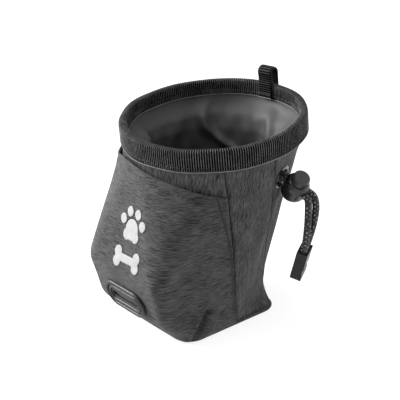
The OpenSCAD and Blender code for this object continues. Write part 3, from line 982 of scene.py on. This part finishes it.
def lining_folds(phi, z):
    """Soft folds of the gathered lining, inwards positive."""
    total = 0.0
    for angle, level, curve, slant, width, depth in FOLDS:
        bend = curve * np.clip(z - level, -22, 12) ** 2
        centre = np.radians(angle + bend + slant * np.clip(z - level, -30, 12))
        off = turn_from(phi, centre) / math.radians(width)
        # one flank is steeper than the other
        total = total + depth * np.exp(-np.where(off > 0, off / 1.5, off) ** 2)
    grow = smoothstep(z, 111, 103) * smoothstep(z, 20, 55)
    small = 0.5 + 0.3 * np.sin(17 * phi + z / 5) + 0.2 * np.sin(29 * phi - z / 3.1)
    return grow * (total + small * smoothstep(z, 106, 98))


def lining_surface(phi, z):
    """The lining hangs from the rim, in at the channel, and keeps clear of the body."""
    body = np.minimum(body_radius(phi, z), square_radius(phi, BASE_HALF + 20))
    levels = [0, 60, 82, 92, 99, 105, 109]
    hang = soft_interp(z, levels, [60, 60, 42.2, 41.7, 44.0, 47.4, 49.0], 1.5)
    room = body - 5.3
    softness = 2.0
    radius = 0.5 * (room + hang - np.sqrt((room - hang) ** 2 + softness ** 2))
    return from_axis(phi, z, radius - lining_folds(phi, z))


def build_lining():
    """Twelve gores, one centred on each gather tab: each is an upper and a lower sheet that meet at the
    channel.
    """
    per_gore = 22
    total = per_gore * TAB_COUNT
    phi = TAB_START - math.pi / TAB_COUNT + np.linspace(0, 2 * math.pi, total + 1)
    upper = np.linspace(0, 1, 30)
    lower = np.linspace(0, 1, 34)
    _, up = rim_wobble(phi)
    rim_line = rim_height(phi, LINING_R, LINING_TOP + up)
    channel = CHANNEL_Z - np.cos(phi) * CHANNEL_R * math.sin(RIM_TILT)
    z_up = rim_line[None, :] + (channel - rim_line)[None, :] * upper[:, None]
    low_z = 50.0
    z_low = channel[None, :] + (low_z - channel)[None, :] * lower[:, None]
    sections = []
    for z in (z_up, z_low):
        grid_phi = np.broadcast_to(phi[None, :], z.shape)
        sections.append(lining_surface(grid_phi, z))
    # the top of each gore hangs straight from the binding
    rim_ring = rim_point(phi, LINING_R, LINING_TOP + up)
    near = smoothstep(upper, 0.6, 0.1)[:, None, None]
    straight = rim_ring[None] + (z_up - rim_line[None, :])[..., None] * np.array([0, 0, 1.0])
    sections[0] = sections[0] * (1 - near) + straight * near
    for index in range(TAB_COUNT):
        columns = slice(index * per_gore, (index + 1) * per_gore + 1)
        tab = f"gather_tab_{index + 1:02d}"
        for part, points in zip(("upper", "lower"), sections):
            obj = sheet(f"lining_{part}_{index + 1:02d}", points[:, columns], LINING)
            if part == "upper":
                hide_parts("lining_bag")
            blend(obj)
        channel_cord(index, tab)
    lining_bowl(phi, low_z)


def channel_cord(index, tab):
    """The arc of drawcord that one gather tab holds."""
    arc = channel_angle(index) + np.linspace(-0.5, 0.5, 17) * 2 * math.pi / TAB_COUNT
    ring = np.stack([
        CHANNEL_R * np.sin(arc),
        CHANNEL_Y - CHANNEL_R * np.cos(arc) * math.cos(RIM_TILT),
        CHANNEL_Z - CHANNEL_R * np.cos(arc) * math.sin(RIM_TILT),
    ], -1)
    cord = tube(f"channel_cord_{index + 1:02d}", ring, CHANNEL_CORD_R, BRAID, sides=12)
    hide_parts("drawcord_ring", tab)
    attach(cord, tab)


def lining_bowl(phi, top):
    """The still part of the lining, from a height down to the base and over it."""
    floor_z = 3.6
    z = top + (floor_z - top) * np.linspace(0, 1, 40)
    grid_phi = np.broadcast_to(phi[None, :], (len(z), len(phi)))
    wall = lining_surface(grid_phi, np.broadcast_to(z[:, None], grid_phi.shape))
    last = wall[-1]
    centre = last.mean(0)
    floor = []
    for share in np.linspace(0.92, 0.02, 12):
        floor.append(centre + (last - centre) * share + np.array([0, 0, 0.4 * (1 - share)]))
    obj = sheet("lining_bowl", np.concatenate([wall, np.array(floor)], 0), LINING)
    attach(obj, "pouch")


# ---- Cords ----

def braid_relief(along, around):
    a = np.sin(BRAID_TURNS * around + 2 * math.pi * along / BRAID_PITCH)
    b = np.sin(-BRAID_TURNS * around + 2 * math.pi * along / BRAID_PITCH)
    return 0.16 * (np.abs(a) + np.abs(b)) - 0.22


def strand(name, path, node):
    """A length of braided cord that stands for a CAD node."""
    piece = tube(name, path, CORD_R, BRAID, sides=24, relief=braid_relief, pitch=BRAID_PITCH)
    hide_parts(node)
    return piece


def bezier(points, t):
    t = np.asarray(t)[:, None]
    return ((1 - t) ** 3 * points[0] + 3 * (1 - t) ** 2 * t * points[1]
            + 3 * (1 - t) * t ** 2 * points[2] + t ** 3 * points[3])


def build_cords():
    """Both strands: the run through the eyelet and the lock, then the bent tail down into the cord end."""
    for name, side, bow, droop in (("a", -1, 1.0, 12.0), ("b", 1, 8.5, 3.0)):
        bend = TAIL_AT - BEND_BEFORE * CORD_DIR + side * CORD_GAP * CORD_SIDE
        tip = END_AT + side * CORD_GAP * END_SIDE
        run = bend + np.linspace(-23.0, -0.1, 150)[:, None] * CORD_DIR
        piece = strand(f"cord_run_{name}", run, "drawcord_run")
        blend(piece)
        controls = [bend, bend + bow * CORD_DIR, tip + droop * END_UP, tip]
        lead = bend + np.linspace(-1.3, -0.15, 8)[:, None] * CORD_DIR
        inside = tip + np.linspace(-0.2, -5, 30)[:, None] * END_UP
        tail = np.concatenate([lead, bezier(controls, np.linspace(0, 1, 200)), inside], 0)
        # the tail is made as an upper and a lower piece, cut at one point
        cut = 110
        upper = strand(f"cord_tail_{name}", tail[:cut + 1], "drawcord_tail")
        lower = strand(f"cord_tip_{name}", tail[cut:], "drawcord_tail")
        blend(upper)
        blend(lower)


# ---- CAD nodes that stay ----

FINISHES = {
    "base_panel": BASE,
    "base_board": BOARD,
    "base_piping": BASE,
    "grommet_face": RUBBER,
    "grommet_back": RUBBER,
    "eyelet_barrel": METAL,
    "eyelet_washer": METAL,
    "lock_barrel": LOCK,
    "lock_button": BUTTON,
    "lock_spring": SPRING,
    "cord_end_shell": CORD_END,
    "cord_end_plug": CORD_END,
    "cord_knot": BRAID,
}
SHARP_ANGLE = math.radians(35)


def finish_nodes():
    for node, material in FINISHES.items():
        mesh = frame["nodes"][node].data
        mesh.materials.clear()
        mesh.materials.append(material)
        mesh.polygons.foreach_set("use_smooth", np.ones(len(mesh.polygons), bool))
        mesh.set_sharp_from_angle(angle=SHARP_ANGLE)


# ---- Stage ----

def view_axes():
    """Unit vectors to the viewer's right, level, and from the pouch back towards the viewer."""
    ca, sa = math.cos(AZIMUTH), math.sin(AZIMUTH)
    ce, se = math.cos(ELEVATION), math.sin(ELEVATION)
    return Vector((ca, sa, 0)), Vector((sa * ce, -ca * ce, se))


def build_camera():
    right, back = view_axes()
    up = back.cross(right)
    x_axis = right * math.cos(ROLL) + up * math.sin(ROLL)
    y_axis = back.cross(x_axis)
    data = bpy.data.cameras.new("camera")
    data.lens = LENS
    data.sensor_width = 36.0
    data.clip_start = 0.01
    camera = bpy.data.objects.new("camera", data)
    place = Vector(TARGET * MM) + back * DISTANCE * MM
    turn = Matrix((x_axis, y_axis, back)).transposed().to_4x4()
    camera.matrix_world = Matrix.Translation(place) @ turn
    bpy.context.scene.collection.objects.link(camera)
    bpy.context.scene.camera = camera


def area_light(name, offset, size, power):
    """A soft light placed by (right, up, towards the camera) from the pouch's middle, in metres."""
    middle = Vector((0, 0, 0.06))
    right, _ = view_axes()
    level_back = Vector((math.sin(AZIMUTH), -math.cos(AZIMUTH), 0))
    light = bpy.data.lights.new(name, "AREA")
    light.size = size
    light.energy = power
    obj = bpy.data.objects.new(name, light)
    place = middle + right * offset[0] + Vector((0, 0, 1)) * offset[1] + level_back * offset[2]
    aim = middle + Vector((0, 0.01, 0))
    obj.location = place
    obj.rotation_euler = (place - aim).to_track_quat("Z", "Y").to_euler()
    bpy.context.scene.collection.objects.link(obj)


def build_world():
    """The backdrop is white to the camera and lights the pouch more softly."""
    world = bpy.data.worlds.new("world")
    world.use_nodes = True
    nodes, links = world.node_tree.nodes, world.node_tree.links
    background = nodes["Background"]
    background.inputs["Color"].default_value = grey(1)
    seen = nodes.new("ShaderNodeLightPath").outputs["Is Camera Ray"]
    strength = nodes.new("ShaderNodeMapRange")
    strength.inputs["To Min"].default_value = 0.62
    strength.inputs["To Max"].default_value = 1.0
    links.new(seen, strength.inputs["Value"])
    links.new(strength.outputs[0], background.inputs["Strength"])
    bpy.context.scene.world = world


def build_floor():
    m = Nodes("floor_white")
    m.set(
        Base_Color=grey(0.3), Roughness=0.9, Specular_IOR_Level=0.0,
        Emission_Color=grey(1.0), Emission_Strength=0.8,
    )
    size = 4000.0
    corners = [(-size, -size, 0), (size, -size, 0), (size, size, 0), (-size, size, 0)]
    new_object("floor", corners, [(0, 1, 2, 3)], m.material, smooth=False)


def build_stage():
    build_camera()
    area_light("key_left", (-0.8, 0.45, -0.22), 0.45, 21.0)
    area_light("fill_right", (0.8, 0.3, 0.1), 0.6, 2.0)
    area_light("top", (-0.1, 0.9, -0.1), 0.7, 6.0)
    build_world()
    build_floor()
    bpy.context.scene.view_settings.view_transform = "Standard"


build_stage()
build_body()
build_pocket()
build_print()
build_binding()
build_binding_edges()
build_loop()
build_lining()
build_cords()
finish_nodes()
